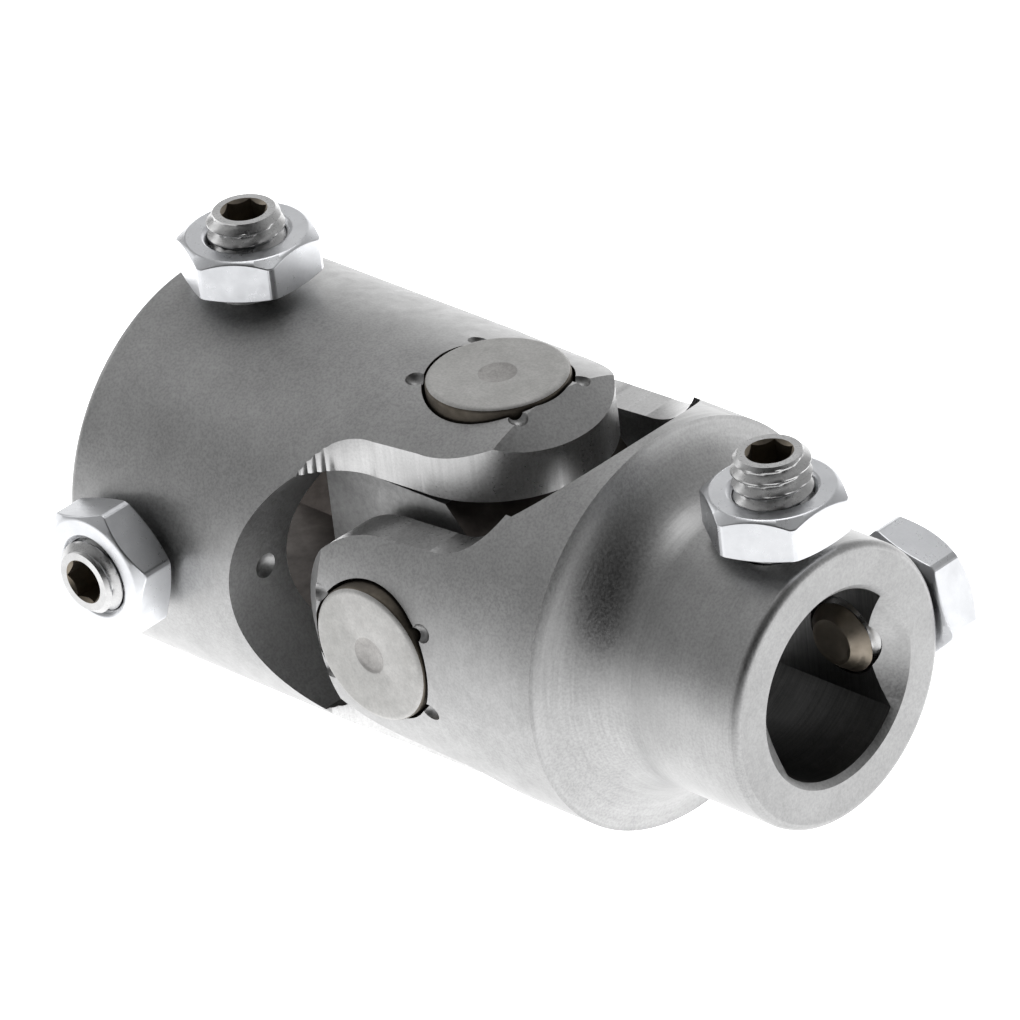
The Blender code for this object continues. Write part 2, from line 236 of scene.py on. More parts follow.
def metal(name, dark, light, rough, line_scale, line_weight, grain=0.5, lines_rough=0.08):
    """Worked steel: blotches, a fine blasted grain and directional tool lines."""
    made, tree, shader = new_material(name)
    shader.inputs["Metallic"].default_value = 1.0
    plain = stretched(tree, (1.0, 1.0, 1.0))
    blotch = noise(tree, plain, 140.0, 4.0, 0.6)
    fine = noise(tree, plain, 3800.0, 2.0, 0.6)
    lines = noise(tree, stretched(tree, line_scale), 1.0, 4.0, 0.65)
    base = ramp(tree, blotch, [(0.36, dark), (0.64, light)])
    streaks = ramp(tree, lines, [(0.3, 1.0 - line_weight), (0.7, 1.0)])
    specks = ramp(tree, fine, [(0.36, 0.76), (0.62, 1.0)])
    colour = mixed(tree, "MULTIPLY", 1.0, base, streaks)
    colour = mixed(tree, "MULTIPLY", grain, colour, specks)
    tree.links.new(colour, shader.inputs["Base Color"])
    low, high = rough
    value = ramp(tree, fine, [(0.3, low), (0.7, high)])
    line_value = ramp(tree, lines, [(0.3, lines_rough), (0.7, 0.0)])
    tree.links.new(math_node(tree, "ADD", value, line_value), shader.inputs["Roughness"])
    height = mixed(tree, "MIX", 0.5, fine, lines)
    bump(tree, shader, height, 0.35 * grain + 0.1, 0.00003)
    return made


def make_materials():
    """Each finish: dark and light colour, roughness range, tool-line scale and weight, grain."""
    around = (5200.0, 90.0, 90.0)
    even = (900.0, 900.0, 900.0)
    upright = (2600.0, 2600.0, 60.0)
    level = (2600.0, 60.0, 2600.0)
    return {
        "blasted": metal("blasted_steel", 0.37, 0.42, (0.36, 0.48), (900.0, 500.0, 500.0), 0.05, 0.9),
        "turned": metal("turned_steel", 0.38, 0.44, (0.32, 0.42), around, 0.10, 0.8),
        "milled_z": metal("milled_steel_upright", 0.50, 0.58, (0.24, 0.36), upright, 0.1, 0.6),
        "milled_y": metal("milled_steel_level", 0.50, 0.58, (0.24, 0.36), level, 0.1, 0.6),
        "face": metal("faced_steel", 0.34, 0.39, (0.34, 0.44), (300.0, 1800.0, 1800.0), 0.08, 0.6),
        "bore": metal("bored_steel", 0.20, 0.28, (0.30, 0.42), around, 0.35, 0.4),
        "cross": metal("cross_steel_ground", 0.34, 0.42, (0.34, 0.46), (1500.0, 80.0, 1500.0), 0.18, 0.6),
        "cup": metal(
            "cup_steel_satin", (0.51, 0.507, 0.495), (0.58, 0.575, 0.565), (0.58, 0.68), even, 0.05, 0.7,
        ),
        # Darker steel for the walls of the cup holes in the yokes.
        "stained": metal(
            "dark_hole_wall_steel", (0.07, 0.055, 0.045), (0.13, 0.11, 0.09), (0.45, 0.6), even, 0.2, 0.6,
        ),
        # Dark steel for the large yoke's pocket and bore; on the cross's nose faces it is painted shade.
        "deep": metal(
            "dark_pocket_and_painted_nose_shade_steel", (0.07, 0.06, 0.055), (0.14, 0.125, 0.115), (0.3, 0.42), even, 0.2, 0.4,
        ),
        "dimple": metal(
            "dimple_steel", (0.40, 0.39, 0.38), (0.46, 0.45, 0.44), (0.5, 0.6), even, 0.1, 0.9,
        ),
        # Painted shade for the sides of the bearing cups, where they sit in their holes.
        "groove": metal(
            "cup_side_painted_shade_steel", (0.09, 0.078, 0.062), (0.17, 0.15, 0.125), (0.4, 0.55), even, 0.2, 0.6,
        ),
        "nut": metal(
            "nut_zinc_plate", (0.60, 0.61, 0.63), (0.68, 0.69, 0.71), (0.24, 0.32),
            (700.0, 700.0, 700.0), 0.05, 0.12,
        ),
        "screw": metal("screw_steel_bright", 0.50, 0.60, (0.22, 0.34), (800.0, 800.0, 800.0), 0.1, 0.4),
        # Painted shade for the screw sockets and the screw points.
        "socket": metal(
            "socket_painted_shade_steel", (0.22, 0.19, 0.15), (0.34, 0.30, 0.25), (0.35, 0.5),
            (500.0, 500.0, 500.0), 0.1, 0.4,
        ),
        "needle": metal("needle_steel_polished", 0.62, 0.68, (0.12, 0.2), even, 0.04, 0.2),
        "rubber": rubber(),
    }


def rubber():
    made, tree, shader = new_material("seal_rubber_black")
    plain = stretched(tree, (1.0, 1.0, 1.0))
    fine = noise(tree, plain, 2500.0, 3.0)
    tree.links.new(ramp(tree, fine, [(0.3, 0.012), (0.7, 0.028)]), shader.inputs["Base Color"])
    tree.links.new(ramp(tree, fine, [(0.3, 0.55), (0.7, 0.75)]), shader.inputs["Roughness"])
    bump(tree, shader, fine, 0.3, 0.00003)
    return made


# ------------------------------------------------------------------ meshes


def arc(centre, radius, start, end, steps):
    return [
        (
            centre[0] + radius * cos(start + (end - start) * i / steps),
            centre[1] + radius * sin(start + (end - start) * i / steps),
        )
        for i in range(steps + 1)
    ]


def circle(radius, count):
    return arc((0.0, 0.0), radius, 0.0, 2 * pi, count)[:-1]


def lathe(profile, segments, phase=0.0):
    """A body turned about the local X axis from (x, radius) points that start and end at radius 0."""
    bm = bmesh.new()
    rings = []
    for x, radius in profile:
        if radius < 1e-9:
            rings.append([bm.verts.new((x, 0.0, 0.0))])
            continue
        ring = []
        for i in range(segments):
            angle = 2 * pi * (i + phase) / segments
            ring.append(bm.verts.new((x, radius * cos(angle), radius * sin(angle))))
        rings.append(ring)
    for low, high in zip(rings, rings[1:]):
        for i in range(segments):
            j = (i + 1) % segments
            corners = [low[i % len(low)], low[j % len(low)], high[j % len(high)], high[i % len(high)]]
            bm.faces.new(list(dict.fromkeys(corners)))
    return bm


def prism(outline, low, high, axis):
    """An outline extruded along X, Y or Z; its points lie along the two other axes, in order."""
    bm = bmesh.new()
    place = {
        "X": lambda a, b, c: (c, a, b),
        "Y": lambda a, b, c: (a, c, b),
        "Z": lambda a, b, c: (a, b, c),
    }[axis]
    bottom = [bm.verts.new(place(a, b, low)) for a, b in outline]
    top = [bm.verts.new(place(a, b, high)) for a, b in outline]
    count = len(outline)
    bm.faces.new(bottom)
    bm.faces.new(top)
    for i in range(count):
        j = (i + 1) % count
        bm.faces.new([bottom[i], bottom[j], top[j], top[i]])
    return bm


def along_z(bm):
    bmesh.ops.rotate(bm, verts=bm.verts, matrix=Matrix.Rotation(-pi / 2, 3, "Y"))
    return bm


def solid(bm, name, turn=None):
    """A mesh object in its local frame, moved by a turn about the joint centre."""
    bmesh.ops.recalc_face_normals(bm, faces=bm.faces)
    mesh = bpy.data.meshes.new(name)
    bm.to_mesh(mesh)
    bm.free()
    if turn is not None:
        mesh.transform(turn)
    made = bpy.data.objects.new(name, mesh)
    bpy.context.scene.collection.objects.link(made)
    return made


def cut(target, tools):
    """Apply a list of (operation, tool) Booleans to the target and remove the tools."""
    for operation, tool in tools:
        step = target.modifiers.new("cut", "BOOLEAN")
        step.operation = operation
        step.solver = "EXACT"
        step.object = tool
    apply_modifiers(target)
    for _, tool in tools:
        mesh = tool.data
        bpy.data.objects.remove(tool)
        bpy.data.meshes.remove(mesh)


def apply_modifiers(target):
    bpy.context.view_layer.update()
    graph = bpy.context.evaluated_depsgraph_get()
    fresh = bpy.data.meshes.new_from_object(target.evaluated_get(graph), depsgraph=graph)
    stale = target.data
    target.modifiers.clear()
    target.data = fresh
    bpy.data.meshes.remove(stale)


def soften(target, width, segments=2, angle=32.0):
    """Round every sharp edge a little and shade the rest smooth."""
    step = target.modifiers.new("edges", "BEVEL")
    step.width = width
    step.segments = segments
    step.limit_method = "ANGLE"
    step.angle_limit = radians(angle)
    step.use_clamp_overlap = True
    step.harden_normals = False
    step.loop_slide = False
    apply_modifiers(target)
    target.data.shade_smooth()
    target.data.set_sharp_from_angle(angle=radians(24))


def turned_pieces(is_small):
    """The yoke's turned outside as (start, end, radius at x, outward normal at x) in its own frame."""
    slope = TIP_CHAMFER_SLOPE
    size = hypot(1.0, slope)
    end = SHOULDER_START if is_small else HALF_LENGTH - RIM_ROUND
    pieces = [
        (
            -15 * MM, -TIP_CHAMFER_START,
            lambda x: YOKE_RADIUS + slope * (x + TIP_CHAMFER_START),
            lambda x: (-slope / size, 1.0 / size),
        ),
        (-TIP_CHAMFER_START, end, lambda x: YOKE_RADIUS, lambda x: (0.0, 1.0)),
    ]
    if is_small:
        drop, run = YOKE_RADIUS - HUB_RADIUS, SHOULDER_END - SHOULDER_START
        curve = (run * run + drop * drop) / (2 * drop)
        top = HUB_RADIUS + curve
        pieces.append((
            SHOULDER_START, SHOULDER_END,
            lambda x: top - sqrt(curve ** 2 - (SHOULDER_END - x) ** 2),
            lambda x: ((SHOULDER_END - x) / curve, sqrt(1 - ((SHOULDER_END - x) / curve) ** 2)),
        ))
        pieces.append((SHOULDER_END, HALF_LENGTH - RIM_ROUND, lambda x: HUB_RADIUS, lambda x: (0.0, 1.0)))
    return pieces


def true_normals(target, turn, pieces):
    """Exact normals on the turned outside and on large flats, so that cuts leave no shading seams."""
    mesh = target.data
    back = turn.inverted().to_3x3()
    out = turn.to_3x3()
    normals = [Vector((0.0, 0.0, 0.0))] * len(mesh.loops)
    for polygon in mesh.polygons:
        centre = back @ polygon.center
        ring = hypot(centre.y, centre.z)
        done = False
        for start, end, radius, slant in pieces:
            if not start < centre.x < end or abs(ring - radius(centre.x)) > 0.05 * MM:
                continue
            along, away = slant(centre.x)
            guess = Vector((along, away * centre.y / ring, away * centre.z / ring))
            if (back @ polygon.normal).dot(guess) < 0.985:
                continue
            for loop in polygon.loop_indices:
                point = back @ mesh.vertices[mesh.loops[loop].vertex_index].co
                along, away = slant(min(max(point.x, start), end))
                size = hypot(point.y, point.z)
                normals[loop] = out @ Vector((along, away * point.y / size, away * point.z / size))
            done = True
            break
        if not done and polygon.area > 0.6 * MM * MM:
            for loop in polygon.loop_indices:
                normals[loop] = polygon.normal.copy()
    mesh.normals_split_custom_set(normals)


def flat_normals(target, least_area):
    """Give each large face its own normal, so that the small bevels round it don't tilt its shading."""
    mesh = target.data
    normals = [Vector((0.0, 0.0, 0.0))] * len(mesh.loops)
    for polygon in mesh.polygons:
        if polygon.area > least_area:
            for loop in polygon.loop_indices:
                normals[loop] = polygon.normal.copy()
    mesh.normals_split_custom_set(normals)


def paint(target, finishes, choose):
    """Give each face the finish that choose(centre, normal) names, in joint-centred coordinates."""
    names = list(finishes)
    target.data.materials.clear()
    for name in names:
        target.data.materials.append(FINISHES[name])
    for polygon in target.data.polygons:
        polygon.material_index = names.index(choose(polygon.center, polygon.normal))


def settle(target, body, node):
    """Move a joint-centred piece to its place and tie it to the CAD."""
    target.data.transform(Matrix.Translation(CENTRE))
    target.data.update()
    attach(target, body)
    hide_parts(node)


# ------------------------------------------------------------------- yokes


def ear_outline(chatter):
    """The ears seen along their pin; the side that faces the front has cutter scallops in its fillet."""
    far = 50 * MM
    wide = 25 * MM
    steps = 120
    fillet_centre = (EAR_ROOT_X, EAR_ROOT_HALF_WIDTH + EAR_FILLET)
    nose = arc((EAR_CENTRE, 0.0), EAR_RADIUS, pi, pi / 2, 56)
    plain = arc(fillet_centre, EAR_FILLET, -pi / 2, 0.0, steps)
    rough = []
    for i in range(steps + 1):
        angle = -pi / 2 + pi / 2 * i / steps
        share = min(1.0, max(0.0, (i / steps - 0.36) / 0.12))
        radius = EAR_FILLET - chatter * share * abs(sin(pi * i / 9))
        rough.append((fillet_centre[0] + radius * cos(angle), fillet_centre[1] + radius * sin(angle)))
    upper = nose + plain + [(EAR_ROOT_X + EAR_FILLET, wide), (far, wide)]
    lower = nose + rough + [(EAR_ROOT_X + EAR_FILLET, wide), (far, wide)]
    return upper + [(x, -z) for x, z in reversed(lower[1:])]


def throat_outline(floor):
    centre = floor - THROAT_RADIUS
    half_angle = asin(EAR_INNER_FACE / THROAT_RADIUS)
    outline = arc((centre, 0.0), THROAT_RADIUS, -half_angle, half_angle, 72)
    return [(-30 * MM, -EAR_INNER_FACE)] + outline + [(-30 * MM, EAR_INNER_FACE)]


def double_d(radius, flat):
    half_angle = asin(flat / radius)
    right = arc((0.0, 0.0), radius, -half_angle, half_angle, 48)
    left = [(-z, y) for z, y in reversed(right)]
    return [(y, z) for z, y in right + left]


def tip_profile():
    end = -11.6 * MM
    end_radius = YOKE_RADIUS - TIP_CHAMFER_SLOPE * (-TIP_CHAMFER_START - end)
    return [(end, 0.0), (end, end_radius), (-TIP_CHAMFER_START, YOKE_RADIUS)]


def rim_profile(radius):
    corner = arc((HALF_LENGTH - RIM_ROUND, radius - RIM_ROUND), RIM_ROUND, pi / 2, 0.0, 10)
    return corner + [(HALF_LENGTH, 0.0)]


def small_shoulder():
    drop = YOKE_RADIUS - HUB_RADIUS
    run = SHOULDER_END - SHOULDER_START
    radius = (run * run + drop * drop) / (2 * drop)
    start = acos((radius - drop) / radius)
    return arc((SHOULDER_END, HUB_RADIUS + radius), radius, -pi / 2 - start, -pi / 2, 28)


def dent(x, y, z, radius, stretch=(1.0, 1.0, 1.0)):
    """A rounded tool that leaves a shallow dent."""
    bm = bmesh.new()
    bmesh.ops.create_icosphere(bm, subdivisions=3, radius=radius)
    bmesh.ops.scale(bm, verts=bm.verts, vec=stretch)
    bmesh.ops.rotate(bm, verts=bm.verts, matrix=Matrix.Rotation(0.3, 3, Vector((0.3, 0.5, 0.8))))
    bmesh.ops.translate(bm, verts=bm.verts, vec=(x, y, z))
    return bm


def stake_marks(side):
    """Four small punched dents round a cup hole, on the ear at +Y or -Y."""
    pits = []
    for degrees in (33, 147, 213, 327):
        angle = radians(degrees)
        away = 8.1 * MM
        x, z = away * cos(angle), away * sin(angle)
        surface = sqrt(YOKE_RADIUS ** 2 - z * z)
        pits.append(dent(x, side * (surface + 0.35 * MM), z, 1.15 * MM, (1.0, 1.0, 0.85)))
    return pits


def relief_profile():
    """A bored pocket for the cross, with the feed marks of its cutter."""
    half_height = EAR_INNER_FACE - 0.02 * MM
    profile = [(-half_height, 0.0)]
    steps = 124
    for i in range(steps + 1):
        height = -half_height + 2 * half_height * i / steps
        profile.append((height, THROAT_RELIEF_RADIUS + 0.09 * MM * abs(sin(pi * i / 4))))
    return profile + [(half_height, 0.0)]


def yoke(name, turn, profile, floor, bore, relief, screw_x, ways, finishes, choose, chatter):
    made = solid(lathe(profile, 240, 0.5), name, turn)
    reach = TOOL_REACH
    radius, flat = bore
    tools = [
        ("INTERSECT", solid(prism(ear_outline(chatter), -reach, reach, "Y"), "ears", turn)),
        ("DIFFERENCE", solid(prism(throat_outline(floor), -reach, reach, "Z"), "throat", turn)),
    ]
    if relief:
        pocket = along_z(lathe(relief_profile(), 144, 0.5))
        tools.append(("DIFFERENCE", solid(pocket, "relief", turn @ Matrix.Rotation(pi / 2, 4, "X"))))
    bore_tool = prism(double_d(radius, flat), floor - BORE_TOOL_RUN_IN, HALF_LENGTH + OVERSHOOT, "X")
    tools.append(("DIFFERENCE", solid(bore_tool, "bore", turn)))
    mouth_end = HALF_LENGTH + OVERSHOOT
    depth = radius - flat + MOUTH_CHAMFER
    mouth = [
        (HALF_LENGTH - depth, 0.0),
        (HALF_LENGTH - depth, flat),
        (mouth_end, flat + depth + OVERSHOOT),
        (mouth_end, 0.0),
    ]
    tools.append(("DIFFERENCE", solid(lathe(mouth, 180, 0.5), "mouth", turn)))
    for side in (1, -1):
        low, high = sorted((side * HOLE_INNER_END, side * HOLE_OUTER_END))
        hole = prism(circle(CUP_HOLE_RADIUS, 128), low, high, "Y")
        tools.append(("DIFFERENCE", solid(hole, "cup_hole", turn)))
        for pit in stake_marks(side):
            tools.append(("DIFFERENCE", solid(pit, "stake", turn)))
    if relief:
        mark = dent(-floor + 0.95 * MM, -15.6 * MM, 0.8 * MM, 1.6 * MM)
        tools.append(("DIFFERENCE", solid(mark, "centre_mark")))
    for way in ways:
        place = Matrix.Translation((screw_x, 0.0, 0.0)) @ OUTWARD[way]
        hole = prism(circle(SCREW_HOLE_RADIUS, 64), SCREW_HOLE_START, HOLE_OUTER_END, "Z")
        tools.append(("DIFFERENCE", solid(hole, "screw_hole", place)))
    cut(made, tools)
    soften(made, 0.2 * MM)
    paint(made, finishes, choose)
    true_normals(made, turn, turned_pieces(not relief))
    return made


def away_from_pin(point, pin_axis):
    """Distance from a yoke's pin, which runs along Z (2) or Y (1)."""
    return hypot(point.x, point[3 - pin_axis])


def in_pocket(point):
    """Within the pocket that is bored for the cross, away from the outside of the yoke."""
    return (
        away_from_pin(point, 2) < THROAT_RELIEF_RADIUS + 0.2 * MM
        and abs(point.z) < EAR_INNER_FACE - 0.1 * MM
    )


def pin_hole(centre, pin_axis, normal):
    """Whether a face is the wall of a hole for a bearing cup."""
    distance = away_from_pin(centre, pin_axis)
    outward = (centre.x * normal.x + centre[3 - pin_axis] * normal[3 - pin_axis]) / max(distance, 1e-9)
    return distance < CUP_HOLE_RADIUS + 0.02 * MM and outward < -0.8


def yoke_finish(pin_axis, shank, floor, bore_radius):
    """Which finish a face of a yoke has, from where it is and which way it faces."""

    def choose(centre, normal):
        ring = hypot(centre.y, centre.z)
        radial = (centre.y * normal.y + centre.z * normal.z) / max(ring, 1e-9)
        along = centre.x * shank
        pin_part = abs(normal[pin_axis])
        if along > HALF_LENGTH - 0.02 * MM and abs(normal.x) > 0.95:
            return "face"
        # The walls of the cup holes are coloured darker than the outside.
        if pin_hole(centre, pin_axis, normal):
            return "stained"
        near_bore = along > floor - 2 * MM and ring < bore_radius + 0.4 * MM
        if near_bore and radial < -0.6 and abs(normal.x) < 0.3:
            return "bore"
        beyond_relief = away_from_pin(centre, pin_axis) > THROAT_RELIEF_RADIUS - 0.1 * MM
        if shank < 0 and beyond_relief and in_pocket(centre):
            return "deep"
        if pin_part < 0.1 and radial < 0.97 and along < 14 * MM and ring < YOKE_RADIUS - 0.2 * MM:
            return "milled"
        if along > 18 * MM and shank > 0 and radial > 0.2:
            return "turned"
        return "blasted"

    return choose


def build_yokes():
    large = yoke_finish(2, -1, LARGE_THROAT_FLOOR, LARGE_BORE[0])
    small = yoke_finish(1, 1, SMALL_THROAT_FLOOR, SMALL_BORE[0])
    finishes = ("blasted", "turned", "milled_z", "face", "bore", "stained", "deep")

    def choose_large(centre, normal):
        name = large(centre, normal)
        return {"milled": "milled_z", "bore": "deep"}.get(name, name)

    made = yoke(
        "large_yoke_body", LARGE_YOKE_TURN, tip_profile() + rim_profile(YOKE_RADIUS),
        LARGE_THROAT_FLOOR, LARGE_BORE, True, LARGE_SCREW_X, ("up", "front"),
        finishes, choose_large, 0.16 * MM,
    )
    settle(made, "large_yoke", "large_bore_yoke")

    finishes = ("blasted", "turned", "milled_y", "face", "bore", "stained")

    def choose_small(centre, normal):
        name = small(centre, normal)
        return "milled_y" if name == "milled" else name

    made = yoke(
        "small_yoke_body", Matrix.Identity(4), tip_profile() + small_shoulder() + rim_profile(HUB_RADIUS),
        SMALL_THROAT_FLOOR, SMALL_BORE, False, SMALL_SCREW_X, ("up", "back"),
        finishes, choose_small, 0.0,
    )
    settle(made, "small_yoke", "small_bore_yoke")


# ------------------------------------------------------- cross and bearings


def build_cross():
    """The block with its chamfered nose towards the small yoke, and its four trunnions."""
    upper = [
        (BLOCK_NOSE, BLOCK_NOSE_HALF_HEIGHT),
        (BLOCK_SHOULDER, BLOCK_HALF_HEIGHT),
        (BLOCK_BACK, BLOCK_HALF_HEIGHT),
    ]
    outline = upper + [(x, -z) for x, z in reversed(upper)]
    made = solid(prism(outline, -BLOCK_HALF_DEPTH, BLOCK_HALF_DEPTH, "Y"), "cross_body")
    ring_edge = 0.4 * MM
    half_pin = [
        (THRUST_RING_END, TRUNNION_RADIUS),
        (TRUNNION_END - TRUNNION_CHAMFER, TRUNNION_RADIUS),
        (TRUNNION_END, TRUNNION_RADIUS - TRUNNION_CHAMFER),
        (TRUNNION_END, 0.0),
    ]
    ringed = [
        (THRUST_RING_END - ring_edge, THRUST_RING_RADIUS),
        (THRUST_RING_END, THRUST_RING_RADIUS - ring_edge),
    ] + half_pin
    pins = []
    for way, half in (("up", half_pin[1:]), ("front", ringed)):
        profile = [(-x, radius) for x, radius in reversed(half)] + half
        pins.append(("UNION", solid(along_z(lathe(profile, 96)), "pin", OUTWARD[way])))
    cut(made, pins)
    soften(made, 0.16 * MM, 2)
    # The nose faces towards the small yoke are painted dark: painted shade under the top ear.
    paint(made, ("cross", "deep"), lambda centre, normal: "deep" if normal.x > 0.5 else "cross")
    settle(made, "cross", "bearing_cross")


def build_cup(side, way, body):
    edge = 0.6 * MM
    floor = CUP_FACE - CUP_END_WALL
    profile = [(floor, 0.0), (floor, CUP_BORE_RADIUS - 0.5 * MM)]
    profile += [(floor - 0.5 * MM, CUP_BORE_RADIUS), (CUP_MOUTH, CUP_BORE_RADIUS)]
    profile += [(CUP_MOUTH, CUP_RADIUS - 0.2 * MM), (CUP_MOUTH + 0.2 * MM, CUP_RADIUS)]
    profile += arc((CUP_FACE - edge, CUP_RADIUS - edge), edge, pi / 2, 0.0, 10)
    rim, depth = DIMPLE_RADIUS, 0.34 * MM
    profile += [
        (CUP_FACE, rim + 0.12 * MM),
        (CUP_FACE - 0.03 * MM, rim),
        (CUP_FACE - 0.12 * MM, rim - 0.15 * MM),
    ]
    profile += [
        (CUP_FACE - 0.12 * MM - (depth - 0.12 * MM) * (1 - (r / 6) ** 2), (rim - 0.15 * MM) * r / 6)
        for r in (5, 4, 3, 2, 1)
    ]
    profile += [(CUP_FACE - depth, 0.0)]
    made = solid(along_z(lathe(profile, 128)), f"{side}_cup", OUTWARD[way])
    made.data.shade_smooth()
    made.data.set_sharp_from_angle(angle=radians(35))

    axis = OUTWARD[way].to_3x3() @ Vector((0.0, 0.0, 1.0))

    def choose(centre, normal):
        height = centre.dot(axis)
        away = (centre - axis * height).length
        if height > CUP_FACE - 0.4 * MM and away < rim:
            return "dimple"
        # All of the cup but its outer face and rounded edge is painted dark: painted shade of the groove
        # round the cup.
        return "cup" if normal.dot(axis) > 0.6 and height > CUP_FACE - edge else "groove"

    paint(made, ("cup", "groove", "dimple"), choose)
    settle(made, body, f"{side}_bearing_cup")


def build_needles(side, way, body):
    """Twenty separate rollers with rounded ends, in one object."""
    low, high = NEEDLE_ENDS
    radius = NEEDLE_RADIUS
    end = 0.25 * MM
    profile = [(low, 0.0), (low, radius - end)]
    profile += [(low + end, radius), (high - end, radius), (high, radius - end), (high, 0.0)]
    bm = bmesh.new()
    for i in range(NEEDLE_COUNT):
        angle = 2 * pi * i / NEEDLE_COUNT
        one = along_z(lathe(profile, 14))
        away = NEEDLE_CIRCLE_RADIUS
        shift = Matrix.Translation((away * cos(angle), away * sin(angle), 0.0))
        bmesh.ops.transform(one, verts=one.verts, matrix=shift)
        mesh = bpy.data.meshes.new("roller")
        one.to_mesh(mesh)
        one.free()
        bm.from_mesh(mesh)
        bpy.data.meshes.remove(mesh)
    made = solid(bm, f"{side}_needles", OUTWARD[way])
    made.data.shade_smooth()
    made.data.set_sharp_from_angle(angle=radians(40))
    paint(made, ("needle",), lambda centre, normal: "needle")
    settle(made, body, f"{side}_needle_rollers")


def build_seal(side, way, body):
    """A moulded lip seal: a flat ring with a rounded outer bead and a thin inner lip."""
    low, high = SEAL_ENDS
    inner, outer = SEAL_RADII
    middle = (low + high) / 2
    bead = 0.38 * MM
    outline = arc((middle, outer - bead), bead, pi, 0.0, 10)
    outline += [(high - 0.15 * MM, outer - 2 * bead), (high - 0.15 * MM, inner + 0.8 * MM)]
    outline += arc((middle, inner + 0.3 * MM), 0.3 * MM, 0.0, -pi, 8)
    outline += [(low + 0.15 * MM, inner + 0.8 * MM), (low + 0.15 * MM, outer - 2 * bead)]
    bm = bmesh.new()
    segments = 96
    loops = []
    for i in range(segments):
        angle = 2 * pi * i / segments
        loops.append([bm.verts.new((x, r * cos(angle), r * sin(angle))) for x, r in outline])
    for i in range(segments):
        now, after = loops[i], loops[(i + 1) % segments]
        for k in range(len(outline)):
            m = (k + 1) % len(outline)
            bm.faces.new([now[k], now[m], after[m], after[k]])
    made = solid(along_z(bm), f"{side}_lip_seal", OUTWARD[way])
    made.data.shade_smooth()
    paint(made, ("rubber",), lambda centre, normal: "rubber")
    settle(made, body, f"{side}_seal")


# ----------------------------------------------------------------- fasteners


def thread_radius(angle, height):
    """Distance of a right-hand thread's surface from its axis."""
    phase = (height / THREAD_PITCH - angle / (2 * pi)) % 1.0
    rise = abs(phase - 0.5) * 2
    share = min(1.0, max(0.0, (rise - 0.14) / 0.74))
    return THREAD_MINOR + (THREAD_MAJOR - THREAD_MINOR) * share


def set_screw(name, place, reach):
    around, per_pitch = 72, 12
    low = reach - SCREW_LENGTH
    rows = int(SCREW_LENGTH / THREAD_PITCH * per_pitch)
    bm = bmesh.new()
    rings = []
    for k in range(rows + 1):
        height = low + SCREW_LENGTH * k / rows
        top_limit = THREAD_MAJOR - 0.75 * MM + (reach - height) * 0.9
        tip_limit = THREAD_MAJOR - 1.5 * MM + (height - low)
        ring = []
        for i in range(around):
            angle = 2 * pi * i / around
            radius = min(thread_radius(angle, height), top_limit, tip_limit)
            ring.append(bm.verts.new((radius * cos(angle), radius * sin(angle), height)))
        rings.append(ring)
    for now, after in zip(rings, rings[1:]):
        for i in range(around):
            j = (i + 1) % around
            bm.faces.new([now[i], now[j], after[j], after[i]])
    bm.faces.new(rings[0])
    bm.faces.new(rings[-1])
    made = solid(bm, name, place)
    corner = SOCKET_ACROSS_FLATS / sqrt(3)
    socket = prism(circle(corner, 6), reach - SOCKET_DEPTH, reach + OVERSHOOT, "Z")
    socket = solid(socket, "socket", place)
    lead = [
        (reach - 0.35 * MM, 0.0),
        (reach - 0.35 * MM, corner - 0.3 * MM),
        (reach + 0.5 * MM, corner + 0.5 * MM),
        (reach + 0.5 * MM, 0.0),
    ]
    sink = solid(along_z(lathe(lead, 48)), "sink", place)
    hollow = [(low - 1 * MM, 0.0), (low - 1 * MM, 3.8 * MM), (low + 1 * MM, 0.0)]
    cup_point = solid(along_z(lathe(hollow, 48)), "cup_point", place)
    cut(made, [("DIFFERENCE", socket), ("DIFFERENCE", sink), ("DIFFERENCE", cup_point)])
    made.data.shade_smooth()
    made.data.set_sharp_from_angle(angle=radians(28))
    axis = (place.to_3x3() @ Vector((0.0, 0.0, 1.0))).normalized()
    foot = place.to_translation()

    def choose(centre, normal):
        arm = centre - foot
        side = arm - axis * arm.dot(axis)
        inside = side.dot(normal) < -0.2 * side.length and side.length < 2.35 * MM
        floor_face = abs(normal.dot(axis)) > 0.9 and side.length < 1.5 * MM
        height = arm.dot(axis)
        deep = low + 2 * MM < height < reach - 1 * MM
        point = height < low + 1.6 * MM
        # The socket's walls and floor, its lead-in and the point are painted dark: painted shade in the
        # socket and in the bore.
        return "socket" if inside or point or (floor_face and deep) else "screw"

    paint(made, ("screw", "socket"), choose)
    return made


